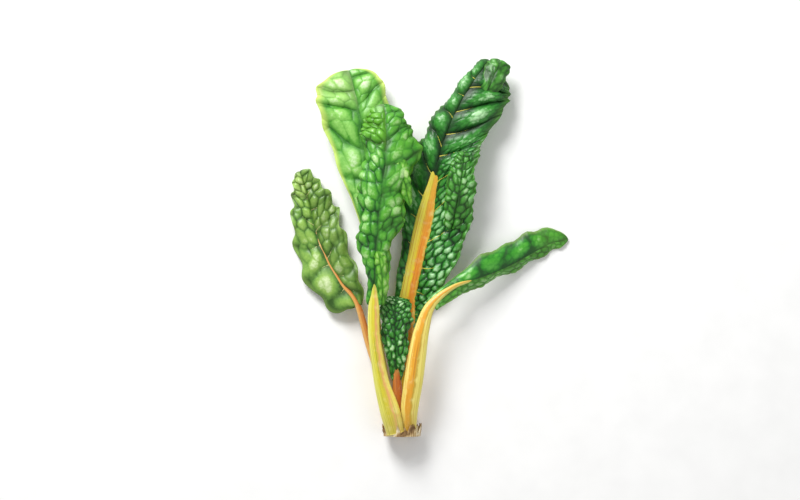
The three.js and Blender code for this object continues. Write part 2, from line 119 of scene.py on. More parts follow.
# Each leaf as in the solids, with the finer relief: quilt is the height of the bulges between side veins
# and bubbles the height of the small blisters, both from base to tip; cell is a blister's length and width.
LEAVES = [
    dict(
        name="left_leaf",
        stem=[(-12, 6, 6), (-20, 50, 8.5), (-33, 92, 11.5)],
        rib=[(-45, 133, 15), (-61, 154, 13), (-75, 177, 10), (-86, 203, 7), (-92, 230, 4.5), (-97, 249, 3),
             (-103, 266, 2)],
        width=[8, 8, 7.5, 6, 3.5, 2.6, 2, 1.5, 1.2, 1],
        depth=[7, 7, 6.5, 5, 3, 2.4, 2, 1.5, 1.2, 1],
        channel_up=False,
        left=dict(reach=[2, 25, 27, 21, 16.5, 11, 7], sweep=[-50, -25, 10, 28, 32, 30, 25],
                  rise=[0, -4, -6, -6, -4, 0, 0], curl=[-10, -15, -10, 0, 0, 0, 0], waves=(4, 3, 0.1),
                  bubbles=[0.1, 0.2, 0.5, 1.8, 2.6, 2.6, 2.2]),
        right=dict(reach=[2, 17, 25, 27, 20, 13, 10], sweep=[-60, -15, 15, 30, 32, 30, 25],
                   rise=[20, 18, 12, 8, 8, 8, 5], curl=[-30, -35, -15, -10, -5, 0, 0], waves=(4, 3, 0.6),
                   bubbles=[0.4, 1.2, 2.2, 2.6, 2.6, 2.6, 2.2]),
        quilts=7, quilt=[2, 3, 3, 2.4, 2, 1.6, 1.2],
        scallop=0.1, crimp=1, tip=0.12, bare=(0.45, 0.7), vein=0.6, cell=(9, 9),
        stalk_slot="orange_stalk", blade_slot="olive_blade",
    ),
    dict(
        name="tall_leaf",
        stem=[(-11.5, 6, 14), (-18, 50, 18), (-24, 92, 18), (-28, 134, 19)],
        rib=[(-30, 174, 22), (-32, 214, 25), (-35, 252, 26), (-38, 290, 25), (-42, 322, 22), (-47, 345, 18),
             (-53, 367, 13)],
        width=[10.5, 12, 11, 9, 6, 4, 3, 2.5, 2, 1.5, 1],
        depth=[8, 8, 7, 6, 4, 3, 3, 2.5, 2, 1.5, 1],
        channel_up=False,
        left=dict(reach=[3, 12, 27, 38, 42, 37, 28], sweep=[10, 30, 32, 30, 25, 19, 14],
                  rise=[-10, -12, -14, -16, -12, -5, 0], curl=[0, 0, 10, 25, 35, 35, 20], waves=(3, 2, 0.3),
                  bubbles=[0.5, 0.7, 0.8, 1, 1.2, 1.2, 1]),
        right=dict(reach=[3, 12, 22, 30, 30, 28, 22], sweep=[10, 30, 32, 32, 28, 20, 10],
                   rise=[0, 0, 0, -4, -8, -5, 0], curl=[0, -5, -10, -15, -10, 0, 0], waves=(3, 2, 0),
                   bubbles=[0.5, 0.7, 0.8, 1, 1.2, 1.2, 1]),
        quilts=6, quilt=[2, 2.5, 3, 4, 4.5, 4, 3],
        scallop=0.03, crimp=0.4, tip=0.2, bare=(0.0, 0.05), vein=0, cell=(17, 15),
        stalk_slot="yellow_stalk", blade_slot="pale_blade",
    ),
    dict(
        name="front_leaf",
        stem=[(-6.5, 4, 26), (-12, 26, 30), (-20, 54, 33), (-25, 82, 36.5), (-28, 106, 38)],
        rib=[(-28, 132, 39.5), (-27, 158, 42), (-25.5, 190, 45), (-23, 222, 47), (-19, 254, 48),
             (-16, 285, 45), (-16, 310, 41), (-18, 332, 35)],
        width=[18, 20, 15.5, 13, 12, 11, 2.6, 1.8, 1.6, 1.4, 1.3, 1.2, 1],
        depth=[10, 11, 10.5, 10, 9, 7, 2.6, 2, 1.8, 1.6, 1.4, 1.2, 1],
        channel_up=False,
        left=dict(reach=[3, 9, 20, 26, 23, 26, 22, 16], sweep=[10, 10, 12, 20, 30, 30, 20, 10],
                  rise=[-15, -16, -18, -15, -10, -10, -10, -10],
                  curl=[-20, -25, -35, -40, -35, -30, -20, -10], waves=(4, 3.5, 0.2),
                  bubbles=[0.8, 1.4, 2.6, 2.8, 2.6, 2.4, 2.4, 2]),
        right=dict(reach=[7, 13, 20, 28, 34, 33, 20, 14], sweep=[10, 10, 12, 20, 30, 30, 20, 10],
                   rise=[-15, -16, -18, -15, -10, -10, -10, -10],
                   curl=[-20, -25, -30, -35, -35, -30, -20, -10], waves=(4, 4.5, 0.7),
                   bubbles=[0.8, 1.4, 2.4, 2.0, 1.0, 0.8, 1.2, 1.6]),
        quilts=7, quilt=[1, 2, 3, 3.5, 3.5, 3.5, 3, 2],
        scallop=0.07, crimp=1, tip=0.1, bare=(0.08, 0.16), vein=0, cell=(11, 10),
        stalk_slot="yellow_stalk", blade_slot="green_blade",
    ),
    dict(
        name="centre_leaf",
        stem=[(3, 6, 6), (3, 46, 4.6), (3, 78, 3.9)],
        rib=[(4, 108, 3.9), (6, 140, 6.5), (14, 178, 10), (23, 216, 13), (31, 252, 17), (39, 288, 22),
             (52, 322, 26), (69, 352, 25), (87, 377, 18)],
        width=[17, 20, 21, 20, 18, 18, 19.5, 12, 2.2, 1.8, 1.6, 1.4],
        depth=[10, 10.5, 10.5, 10.5, 10, 9, 8, 5, 2.2, 1.8, 1.6, 1.4],
        channel_up=True,
        left=dict(reach=[3, 8, 12, 24, 28, 22, 15, 11, 11], sweep=[0, 20, 40, 45, 42, 38, 40, 30, 0],
                  rise=[10, 15, 10, -5, -15, 0, 0, 0, 0], curl=[0, -20, -30, -30, -30, -60, -70, -70, -40],
                  waves=(6, 3, 0.2), bubbles=[1.6, 1.4, 0.7, 0.3, 0.4, 0.6, 0.7, 0.7, 0.7]),
        right=dict(reach=[8, 24, 38, 41, 38, 42, 45, 38, 30], sweep=[10, 15, 28, 40, 45, 36, 37, 22, 0],
                   rise=[0, 8, 16, 26, 30, 0, 0, 2, 0], curl=[0, 0, -10, -10, -10, -20, -25, -30, -20],
                   waves=(4, 2.5, 0.55), bubbles=[2.2, 2.8, 3.0, 3.0, 2.6, 0.8, 0.6, 0.7, 0.7]),
        quilts=11, quilt=[0.8, 0.8, 0.8, 1, 2.5, 5.5, 5.5, 5, 4],
        scallop=0.03, crimp=1, tip=0.08, bare=(0.52, 0.6), vein=1.0, cell=(6.5, 8.5),
        stalk_slot="orange_stalk", blade_slot="dark_blade",
    ),
    dict(
        name="heart_leaf",
        stem=[(0, 14, 15), (-4, 40, 19)],
        rib=[(-5, 57, 21), (-6, 78, 24), (-7, 98, 26), (-7, 116, 26), (-7, 130, 25), (-6, 140, 23)],
        width=[8, 10, 8.5, 5, 2.5, 2, 1.5, 1],
        depth=[7, 7, 6, 4, 2.5, 2, 1.5, 1],
        channel_up=True,
        left=dict(reach=[1.5, 9, 13, 15, 14, 11], sweep=[-20, 0, 20, 28, 25, 10],
                  rise=[-5, -10, -10, -10, -10, -5], curl=[-10, -15, -20, -20, -10, -10], waves=(3, 1.5, 0.2),
                  bubbles=[1.2, 2.0, 2.2, 2.2, 2.2, 1.8]),
        right=dict(reach=[1.5, 10, 15, 17, 15, 11], sweep=[-20, 0, 20, 28, 25, 10],
                   rise=[-5, -10, -10, -10, -10, -5], curl=[-10, -15, -20, -20, -10, -10],
                   waves=(3, 1.5, 0.6), bubbles=[1.2, 2.0, 2.2, 2.2, 2.2, 1.8]),
        quilts=5, quilt=[0.8, 1, 1, 1, 1, 1],
        scallop=0.06, crimp=1, tip=0.2, bare=(0.05, 0.2), vein=0, cell=(5.2, 5.8),
        stalk_slot="orange_stalk", blade_slot="dark_blade",
    ),
    dict(
        name="right_leaf",
        stem=[(7.5, 4, 20), (7.5, 28, 26.5), (11.5, 56, 31.5), (15.5, 84, 34), (20, 108, 35)],
        rib=[(29, 132, 34), (51, 150, 30), (77, 159, 23), (103, 169, 15), (128, 182, 8), (149, 193, 4),
             (167, 198, 1.2)],
        width=[13, 17.5, 19, 18, 15, 10, 5, 3.5, 2.5, 2, 1.5, 1],
        depth=[10, 11, 10.5, 10, 9, 7, 5, 3, 2, 2, 1.5, 1],
        channel_up=False,
        left=dict(reach=[3, 6, 20, 23, 21, 17, 9], sweep=[0, 10, 20, 25, 20, 5, 0],
                  rise=[-20, -10, 25, 30, 25, 15, 0], curl=[0, -20, -60, -70, -60, -40, -10],
                  waves=(3, 1.5, 0.2), bubbles=[0.3, 0.3, 0.1, 0.1, 0.1, 0.2, 0.2]),
        right=dict(reach=[5, 10, 13, 12, 10, 8, 6], sweep=[-10, 5, 20, 25, 20, 10, 0],
                   rise=[-10, -25, -58, -58, -45, -30, -10], curl=[0, 0, 0, 0, 0, 0, 0], waves=(5, 2, 0.6),
                   bubbles=[0.8, 1.2, 1.4, 1.2, 1, 0.6, 0.3]),
        quilts=6, quilt=[0.8, 0.7, 0.6, 0.6, 0.6, 0.6, 0.5],
        scallop=0.06, crimp=0.25, tip=0.15, bare=(0.15, 0.4), vein=0, cell=(6, 6),
        stalk_slot="yellow_stalk", blade_slot="green_blade",
    ),
]

# Folds of a blade that stand up in front of it: small sheets round a crease of their own, without a stalk.
# fresh is how far a fold has the bright green of young leaf.
FOLD = dict(stem=[], width=[0, 0], depth=[0, 0], bare=(0, 0.01), crimp=1, scallop=0.05, tip=0.3)
FOLDS = [
    dict(
        FOLD, of="centre_leaf", rib=[(50, 208, 22), (55, 235, 33), (60, 264, 37.5), (62, 286, 36.5)],
        left=dict(reach=[8, 13, 12, 6], sweep=[20, 25, 25, 20], rise=[-5, -8, -10, -10],
                  curl=[-10, -20, -20, -10],
                  waves=(2, 1, 0.2), bubbles=[2.4, 2.6, 2.6, 2]),
        right=dict(reach=[8, 12, 11, 5], sweep=[20, 25, 25, 20], rise=[-5, -12, -14, -14],
                   curl=[-10, -30, -30, -20], waves=(2, 1.5, 0.6), bubbles=[2.4, 2.2, 1.6, 1.2]),
        quilts=4, quilt=[1, 1, 1, 1], cell=(6.5, 8), fresh=0.12,
    ),
    dict(
        FOLD, of="centre_leaf", rib=[(80, 334, 24), (88, 352, 28), (95, 367, 26), (98, 377, 23)],
        left=dict(reach=[5, 10, 13, 9], sweep=[20, 20, 20, 20], rise=[-5, -8, -10, -10],
                  curl=[-10, -20, -20, -10],
                  waves=(2, 0.8, 0.2), bubbles=[0.6, 0.7, 0.7, 0.5]),
        right=dict(reach=[6, 12, 13, 8], sweep=[20, 20, 20, 20], rise=[-5, -12, -14, -14],
                   curl=[-10, -20, -20, -10], waves=(2, 0.8, 0.6), bubbles=[0.6, 0.7, 0.7, 0.5]),
        quilts=2, quilt=[1, 1.5, 1.5, 1], cell=(9, 8), fresh=0.15,
    ),
    dict(
        FOLD, of="front_leaf", rib=[(-12, 300, 42), (-3, 276, 45), (3, 252, 43), (8, 231, 38)],
        left=dict(reach=[5, 7, 6, 4], sweep=[20, 20, 20, 10], rise=[-20, -10, -10, -10],
                  curl=[-10, -20, -20, -10],
                  waves=(2, 0.8, 0.2), bubbles=[0.4, 0.4, 0.4, 0.3]),
        right=dict(reach=[5, 7, 6, 4], sweep=[20, 20, 20, 10], rise=[-20, -10, -10, -10],
                   curl=[-10, -20, -20, -10],
                   waves=(2, 0.8, 0.6), bubbles=[0.4, 0.4, 0.4, 0.3]),
        quilts=3, quilt=[0.6, 0.8, 0.8, 0.5], cell=(9, 7), fresh=0.4,
    ),
    dict(
        FOLD, of="front_leaf", rib=[(-20, 132, 37), (-19.5, 150, 44), (-21, 170, 48), (-24, 186, 49)],
        left=dict(reach=[2, 4, 6, 5], sweep=[10, 15, 20, 10], rise=[-10, -10, -20, -20],
                  curl=[-10, -20, -20, -20],
                  waves=(1, 0.6, 0.2), bubbles=[0.5, 0.6, 0.8, 0.6]),
        right=dict(reach=[3, 7, 8, 5], sweep=[10, 15, 20, 10], rise=[-20, -25, -25, -20],
                   curl=[-10, -20, -20, -20],
                   waves=(2, 1, 0.6), bubbles=[0.5, 0.6, 0.8, 0.6]),
        quilts=3, quilt=[0.6, 0.8, 1, 0.6], cell=(8, 7), fresh=0.45,
    ),
]


def through(values, t):
    """A smooth curve through evenly spaced values, at t from 0 to 1."""
    values = np.asarray(values, float)
    last = len(values) - 1
    padded = np.concatenate([[2 * values[0] - values[1]], values, [2 * values[-1] - values[-2]]])
    place = np.clip(t, 0, 1) * last
    k = np.minimum(place.astype(int), last - 1)
    f = place - k
    if values.ndim > 1:
        f = f[..., None]
    a, b, c, d = (padded[k + i] for i in range(4))
    return b + f * ((c - a) / 2 + f * (a - 2.5 * b + 2 * c - d / 2 + f * ((d - a) / 2 + 1.5 * (b - c))))


def unit(vectors):
    return vectors / np.maximum(np.linalg.norm(vectors, axis=-1, keepdims=True), 1e-12)


def spine_points(leaf):
    return np.array(leaf["stem"] + leaf["rib"], float)


def along_blade(leaf, s):
    start = len(leaf["stem"]) / (len(leaf["stem"]) + len(leaf["rib"]) - 1)
    return start + s * (1 - start)


def spine_frame(leaf, t):
    """Centre, direction, right-hand side and upper side of the stalk at t."""
    points = spine_points(leaf)
    small = 1e-4
    centre = through(points, t)
    along = unit(through(points, np.minimum(t + small, 1)) - through(points, np.maximum(t - small, 0)))
    up = unit(np.array([0, 0, 1.0]) - along[..., 2:3] * along)
    return centre, along, up, np.cross(along, up)


def rib_cover(leaf, s):
    """How far the blade closes over its rib: 0 where the rib is bare, 1 beyond that."""
    low, high = leaf["bare"]
    share = np.clip((s - low) / (high - low), 0, 1)
    return share * share * (3 - 2 * share)


def rib_length(leaf):
    return float(np.linalg.norm(np.diff(np.array(leaf["rib"], float), axis=0), axis=1).sum())


def cells(a, b, seed):
    """Irregular cells on a staggered grid: how deep inside its cell a point is, and a number for the cell."""
    table = np.random.default_rng(seed).random((CELL_TABLE, CELL_TABLE, 3))
    best = np.full(a.shape, 9.0)
    second = np.full(a.shape, 9.0)
    tag = np.zeros(a.shape)
    for i in (-1, 0, 1):
        row = np.floor(a).astype(int) + i
        shifted = b + 0.5 * (row % 2)
        for j in (-1, 0, 1):
            column = np.floor(shifted).astype(int) + j
            draw = table[row % CELL_TABLE, column % CELL_TABLE]
            da = a - row - 0.5 - BUBBLE_JITTER * (draw[..., 0] - 0.5)
            db = shifted - column - 0.5 - BUBBLE_JITTER * (draw[..., 1] - 0.5)
            distance = np.hypot(da, db)
            closer = distance < best
            second = np.where(closer, best, np.minimum(second, distance))
            tag = np.where(closer, draw[..., 2], tag)
            best = np.where(closer, distance, best)
    inside = np.clip((second - best) / BUBBLE_EDGE, 0, 1)
    return np.sqrt(1 - (1 - inside) ** 2), tag


def blister_rows(leaf):
    """Rows of blisters between two side veins."""
    return max(1, round(rib_length(leaf) / leaf["quilts"] / leaf["cell"][0]))


def half_reach(leaf, half, s, phase):
    """How far a half blade reaches out at s: rounded at the tip, scalloped and crimped along its edge."""
    scallops = 1 + leaf["scallop"] * np.cos(2 * np.pi * (leaf["quilts"] * s + phase))
    closing = np.maximum(0, 1 - (1 - s) / leaf["tip"])
    tip = np.sqrt(np.maximum(1 - closing ** 2, 0))
    turns = blister_rows(leaf) * (leaf["quilts"] * s + phase)
    crimps = 1 + CRIMP * leaf["crimp"] * np.sin(2 * np.pi * turns)
    return np.maximum(through(half["reach"], s), 0) * tip * scallops * crimps


def edge_waves(leaf, half, s, v, phase):
    """The slow ruffle of a half blade and the fine frill at its very edge."""
    count, height, shift = half["waves"]
    fullness = np.sqrt(np.maximum(np.sin(np.pi * s), 0))
    ruffle = (height * fullness * np.sin(2 * np.pi * (count * s + shift)))[:, None] * v * v
    crinkle = fullness * np.sin(2 * np.pi * (blister_rows(leaf) * leaf["quilts"] * s + phase))
    return ruffle + FRILL * leaf["crimp"] * crinkle[:, None] * v ** FRILL_POWER


def quilt_warp(s, v, phase):
    """How far the creases between the bulges stray along the blade."""
    return QUILT_WARP * np.sin(2 * np.pi * (WARP_ACROSS * v + WARP_ALONG * s + phase))


def quilt_shape(leaf, s, v, phase):
    """The bulges between the side veins: 0 in the creases, highest in the middle."""
    turns = (leaf["quilts"] * s + phase)[:, None] + quilt_warp(s[:, None], v, phase)
    bulge = np.abs(np.sin(np.pi * turns)) ** QUILT_SHARPNESS
    return bulge * np.sin(np.pi * (QUILT_SPREAD * v + QUILT_SHIFT))


def blisters(leaf, side, s, v, reach, seed):
    """Small blisters of a half blade: how domed each place is, and a number for its blister."""
    _, phase = HALVES[side]
    rows = blister_rows(leaf) * (leaf["quilts"] * s + phase) + CELL_START
    a = np.broadcast_to(rows[:, None], (len(s), len(v)))
    b = reach * v / leaf["cell"][1] + (LEFT_CELL_START if side == "left" else 0)
    sway = BUBBLE_WARP * np.sin(BUBBLE_SWAY[0] * b + BUBBLE_SWAY[1] * a)
    return cells(a + sway, b + BUBBLE_WARP * np.sin(BUBBLE_SWAY[2] * a + sway), seed)


def blade_relief(leaf, side, s, v, reach, seed):
    """Height of a half blade above its smooth sheet, how puffed each place is, and its blister's number."""
    half = leaf[side]
    _, phase = HALVES[side]
    fade = np.minimum(1, QUILT_FADE * (1 - s))
    quilt_height = (through(leaf["quilt"], s) * fade)[:, None]
    quilt = quilt_height * quilt_shape(leaf, s, v, phase)
    dome, tag = blisters(leaf, side, s, v, reach, seed)
    least, more = BUBBLE_HEIGHTS
    growth = np.clip(v * BUBBLE_GROWTH, BUBBLE_LEAST, 1)
    bubble_height = (through(half["bubbles"], s) * fade)[:, None] * growth * (least + more * tag)
    bubble = bubble_height * dome
    weight = quilt_height + BUBBLE_SHARE * bubble_height
    puff = (quilt + BUBBLE_SHARE * bubble) / (weight + PUFF_FLOOR)
    return edge_waves(leaf, half, s, v, phase) + quilt + bubble, puff, tag


def blade_half(leaf, side, s, v, seed):
    """Points of one half of a blade, base to tip by rib to edge, with what its colours follow."""
    half = leaf[side]
    turn, phase = HALVES[side]
    t = along_blade(leaf, s)
    centre, along, up, across = spine_frame(leaf, t)
    outward = turn * across
    sweep, rise, curl = (np.radians(through(half[key], s))[:, None] for key in ("sweep", "rise", "curl"))
    bend = curl * v
    lean = rise + bend / 2
    slope = rise + bend
    reach = half_reach(leaf, half, s, phase)[:, None]
    chord = reach / np.cos(sweep) * v * np.sinc(bend / 2 / np.pi)
    relief, puff, tag = blade_relief(leaf, side, s, v, reach, seed)
    cover = rib_cover(leaf, s)
    inner = ((1 - cover) * RIB_OVERLAP * through(leaf["width"], t))[:, None]
    lift = (cover * (through(leaf["depth"], t) / 2 + BLADE_THICKNESS))[:, None]
    out_mm = inner + chord * np.cos(sweep) * np.cos(lean) - relief * np.sin(slope)
    up_mm = lift + chord * np.cos(sweep) * np.sin(lean) + relief * np.cos(slope)
    along_mm = chord * np.sin(sweep)
    points = (centre[:, None] + out_mm[..., None] * outward[:, None] + up_mm[..., None] * up[:, None]
              + along_mm[..., None] * along[:, None])
    shape = chord.shape
    marks = dict(
        puff=puff,
        cell=tag,
        edge=np.broadcast_to(v, shape),
        length=np.broadcast_to(s[:, None], shape),
        right=np.full(shape, 0.5 + turn * 0.5),
        fresh=np.full(shape, leaf.get("fresh", 0.0)),
    )
    return points, marks


def blade_grid(leaf, seed):
    """Both halves of a blade as one sheet, from the left edge over the rib to the right edge."""
    rows = int(rib_length(leaf) / BLADE_STEP)
    s = 1 - (1 - np.linspace(0, 1, rows)[:-1]) ** TIP_CROWDING
    sheets = []
    for number, side in enumerate(HALVES):
        columns = int(COLUMN_ALLOWANCE * max(leaf[side]["reach"]) / BLADE_STEP) + 2
        sheets.append(blade_half(leaf, side, s, np.linspace(0, 1, columns), seed + number))
    (left, left_marks), (right, right_marks) = sheets
    points = np.concatenate([left[:, ::-1], right], axis=1)
    marks = {k: np.concatenate([left_marks[k][:, ::-1], right_marks[k]], axis=1) for k in left_marks}
    return points, marks


def sheet_solid(points, marks):
    """A sheet given thickness: upper face, lower face and the edge between them."""
    rows, columns, _ = points.shape
    points = points.copy()
    points[..., 2] = np.maximum(points[..., 2], BLADE_THICKNESS / 2 + SHEET_GAP)
    normals = unit(np.cross(np.gradient(points, axis=1), np.gradient(points, axis=0)))
    upper = points + normals * BLADE_THICKNESS / 2
    lower = points - normals * BLADE_THICKNESS / 2
    index = np.arange(rows * columns).reshape(rows, columns)
    a, b = index[:-1, :-1], index[:-1, 1:]
    c, d = index[1:, 1:], index[1:, :-1]
    faces = np.stack([a, b, c, d], axis=-1).reshape(-1, 4)
    under = faces[:, ::-1] + rows * columns
    rim = np.concatenate([index[0, :-1], index[:-1, -1], index[-1, :0:-1], index[:0:-1, 0]])
    after = np.roll(rim, -1)
    wall = np.stack([after, rim, rim + rows * columns, after + rows * columns], axis=-1)
    vertices = np.concatenate([upper.reshape(-1, 3), lower.reshape(-1, 3)])
    vertices[:, 2] = np.maximum(vertices[:, 2], FLOOR_GAP)
    values = {k: np.tile(m.reshape(-1), 2) for k, m in marks.items()}
    values["under"] = np.repeat([0.0, 1.0], rows * columns)
    return vertices, np.concatenate([faces, under, wall]), values


def add_mesh(name, vertices, faces, values, material):
    """A smooth mesh object from millimetre points, with named values on its points."""
    mesh = bpy.data.meshes.new(name)
    mesh.from_pydata((vertices * MM + ORIGIN).tolist(), [], [list(f) for f in faces])
    mesh.polygons.foreach_set("use_smooth", np.ones(len(mesh.polygons), bool))
    for key, array in values.items():
        layer = mesh.attributes.new(key, "FLOAT", "POINT")
        layer.data.foreach_set("value", np.ascontiguousarray(array, dtype=np.float32))
    mesh.materials.append(material)
    piece = bpy.data.objects.new(name, mesh)
    bpy.context.scene.collection.objects.link(piece)
    return piece


def tube_faces(steps, sides, first=0):
    index = first + np.arange((steps + 1) * sides).reshape(steps + 1, sides)
    around = np.roll(index, -1, axis=1)
    return np.stack([index[:-1], index[1:], around[1:], around[:-1]], axis=-1).reshape(-1, 4)[:, ::-1]


def rib_green(leaf, t):
    """How green the rib is: none on the stalk, and more along the blade to its tip."""
    start = along_blade(leaf, 0.0)
    s = np.clip((t - start) / (1 - start), 0, 1)
    low, high = leaf["bare"]
    start, end = GREEN_START * low, GREEN_END * high
    return np.clip((s - start) / (end - start), 0, 1)


def stalk_rings(leaf):
    """Rings of a stalk with its midrib: an oval, ridged on its round side, hollow on its channel side."""
    length = float(np.linalg.norm(np.diff(spine_points(leaf), axis=0), axis=1).sum())
    t = np.linspace(0, STALK_END, int(length / STALK_STEP))
    angle = np.linspace(0, 2 * np.pi, STALK_SIDES, endpoint=False)
    centre, along, up, across = spine_frame(leaf, t)
    a = through(leaf["width"], t)[:, None] / 2
    b = through(leaf["depth"], t)[:, None] / 2
    facing = np.sin(angle) * (-1 if leaf["channel_up"] else 1)
    steepness, shift = ROUND_SIDE
    round_side = np.clip(facing * steepness + shift, 0, 1)
    hollow = CHANNEL_DEPTH * np.exp(-((np.cos(angle) / CHANNEL_SPREAD) ** 2)) * (1 - round_side)
    grooves = 0.5 + 0.5 * np.cos(RIDGES * angle)
    ridged = RIDGES_IN_CHANNEL + (1 - RIDGES_IN_CHANNEL) * round_side
    scale = 1 - RIDGE_HEIGHT * grooves * ridged
    x = a * scale * np.cos(angle)
    z = b * scale * (1 - hollow) * np.sin(angle)
    points = centre[:, None] + x[..., None] * across[:, None] + z[..., None] * up[:, None]
    points[..., 2] = np.maximum(points[..., 2], FLOOR_GAP)
    marks = dict(
        across=np.broadcast_to(np.cos(angle), x.shape),
        along=np.broadcast_to(t[:, None], x.shape),
        groove=np.broadcast_to(grooves, x.shape),
        green=np.broadcast_to(rib_green(leaf, t)[:, None], x.shape),
    )
    return points, marks


def closed_tube(points, first=0):
    """Faces of a tube of rings with both ends closed."""
    steps, sides, _ = points.shape
    faces = [list(f) for f in tube_faces(steps - 1, sides, first)]
    faces.append([first + k for k in range(sides)])
    faces.append([first + steps * sides - 1 - k for k in range(sides)])
    return faces


def along_curve(leaf, side, s, v, seed):
    """Points of a half blade along a curve, where s and v change together."""
    sheet, _ = blade_half(leaf, side, s, v, seed)
    place = np.arange(len(v))
    return sheet[place, place]


def vein_rings(leaf, side, s, seed):
    """Rings of one side vein: a tube that lies on the blade and thins towards the edge."""
    v = np.linspace(0, VEIN["reach"], VEIN["steps"])
    _, phase = HALVES[side]
    crease = s - quilt_warp(s, v, phase) / leaf["quilts"]
    small = 1e-3
    before, path, after = (along_curve(leaf, side, crease + d, v, seed) for d in (-small, 0, small))
    along = unit(np.gradient(path, axis=0))
    normal = unit(np.cross(along, after - before))
    normal *= np.sign(normal[:, 2:3])
    across = np.cross(along, normal)
    radius = VEIN["radius"] * leaf["vein"] * (1 - VEIN["taper"] * v / VEIN["reach"])[:, None, None]
    angle = np.linspace(0, 2 * np.pi, VEIN["sides"], endpoint=False)[None, :, None]
    centre = path + normal * BLADE_THICKNESS * VEIN["lift"]
    return centre[:, None] + radius * (np.cos(angle) * across[:, None] + np.sin(angle) * normal[:, None])


def stalk_piece(leaf, seed, material):
    """A stalk with its midrib and, where the leaf shows them, its side veins."""
    points, marks = stalk_rings(leaf)
    vertices = [points.reshape(-1, 3)]
    faces = closed_tube(points)
    values = {key: [mark.reshape(-1)] for key, mark in marks.items()}
    for number, side in enumerate(HALVES):
        first_crease = 1 - HALVES[side][1]
        for k in range(leaf["quilts"] - 1 if leaf["vein"] else 0):
            vein = vein_rings(leaf, side, (k + first_crease) / leaf["quilts"], seed + number)
            faces += closed_tube(vein, sum(len(v) for v in vertices))
            vertices.append(vein.reshape(-1, 3))
            for key, value in VEIN_MARKS.items():
                values[key].append(np.full(len(vertices[-1]), value))
    values = {key: np.concatenate(parts) for key, parts in values.items()}
    return add_mesh(f"{leaf['name']}_stalk_fine", np.concatenate(vertices), faces, values, material)


def blade_piece(leaf, seed, material):
    """A blade with its folds."""
    sheets = [leaf] + [fold for fold in FOLDS if fold["of"] == leaf["name"]]
    solids = [sheet_solid(*blade_grid(sheet, seed + 2 * k)) for k, sheet in enumerate(sheets)]
    first = np.cumsum([0] + [len(vertices) for vertices, _, _ in solids])
    vertices = np.concatenate([solid[0] for solid in solids])
    faces = np.concatenate([solid[1] + start for solid, start in zip(solids, first)])
    values = {key: np.concatenate([solid[2][key] for solid in solids]) for key in solids[0][2]}
    return add_mesh(f"{leaf['name']}_blade_fine", vertices, faces, values, material)


def crown_rings():
    """Rings of the crown from its cut face to the rim and down inside it."""
    angle = np.linspace(0, 2 * np.pi, CROWN["sides"], endpoint=False)
    share = np.concatenate([[0], np.linspace(0, 1, CROWN["rings"]), [1, 1]])
    size = through(CROWN["profile"], share)
    size[0] = CROWN["close"]
    size[-2] = CROWN["lip"] * size[-3]
    size[-1] = CROWN["close"]
    drop = np.zeros(len(share))
    drop[-2:] = CROWN["dish"]
    rag = CROWN["raggedness"] * sum(np.sin(count * angle + count) for count in CROWN["rags"])
    fibre = np.cos(CROWN["fibres"] * angle)
    swell = 1 + CROWN["fibre_height"] * fibre
    x = CROWN["half_width"] * size[:, None] * swell * np.cos(angle)
    z = CROWN["half_height"] * (1 + size[:, None] * swell * np.sin(angle))
    y = np.maximum(CROWN["length"] * share[:, None] - drop[:, None] + rag * share[:, None] ** 2, 0)
    points = np.stack([x, np.broadcast_to(y, x.shape), np.maximum(z, FLOOR_GAP)], axis=-1)
    return points, np.broadcast_to(share[:, None], x.shape), np.broadcast_to(fibre, x.shape)


def scale_sheet(draw, angle):
    """One dry scale: a thin curved flap that stands against the crown, torn at its end."""
    height = np.interp(draw.random(), [0, 1], SCALES["height"])
    half_width = np.interp(draw.random(), [0, 1], SCALES["half_width"])
    u = np.linspace(0, 1, SCALES["rows"])[:, None]
    w = np.linspace(-1, 1, SCALES["columns"])[None, :]
    torn = 1
    for depth, count in SCALES["tears"]:
        torn = torn + depth * np.sin(count * w + SCALES["tear_shift"] * draw.random())
    turn = angle + w * half_width * (1 - SCALES["taper"] * u ** 2) / CROWN["half_width"]
    out = 1 + (SCALES["stand_off"] + SCALES["flare"] * height * u ** 2) / CROWN["half_width"]
    curl = SCALES["curl"] * np.sin(3 * w + 4 * u + SCALES["curl_shift"] * draw.random()) * u
    x = (CROWN["half_width"] * out + curl) * np.cos(turn)
    z = CROWN["half_height"] + (SCALES["half_height"] * out + curl) * np.sin(turn)
    y = SCALES["foot"] + height * u * torn
    points = np.stack([x, np.broadcast_to(y, x.shape), z], axis=-1)
    length = SCALES["foot_tone"] + (1 - SCALES["foot_tone"]) * u
    fibre = np.cos(SCALES["fibres"] * w)
    marks = dict(length=np.broadcast_to(length, x.shape), fibre=np.broadcast_to(fibre, x.shape))
    return sheet_solid(points[:, ::-1], marks)


def crown_piece(material):
    """The crown stub with its ring of dry scales."""
    points, share, fibre = crown_rings()
    vertices = [points.reshape(-1, 3)]
    faces = closed_tube(points)
    values = dict(length=[share.reshape(-1)], fibre=[fibre.reshape(-1)])
    draw = np.random.default_rng(SCALES["seed"])
    for k in range(SCALES["count"]):
        angle = 2 * np.pi * (k + SCALES["scatter"] * draw.random()) / SCALES["count"]
        scale, scale_faces, marks = scale_sheet(draw, angle)
        first = sum(len(v) for v in vertices)
        vertices.append(scale)
        faces += [list(f + first) for f in scale_faces]
        for key in values:
            values[key].append(marks[key])
    values = {key: np.concatenate(parts) for key, parts in values.items()}
    return add_mesh("crown_fine", np.concatenate(vertices), faces, values, material)


def linear(red, green, blue):
    """A colour of the picture, 0 to 255, as the linear values the shaders use."""
    parts = [c / 255 for c in (red, green, blue)]
    return tuple(c / 12.92 if c <= 0.04045 else ((c + 0.055) / 1.055) ** 2.4 for c in parts) + (1,)


# The part of a noise's range in which most of its values lie
NOISE_MIDDLE = (0.3, 0.7)
COAT_ROUGHNESS = 0.25


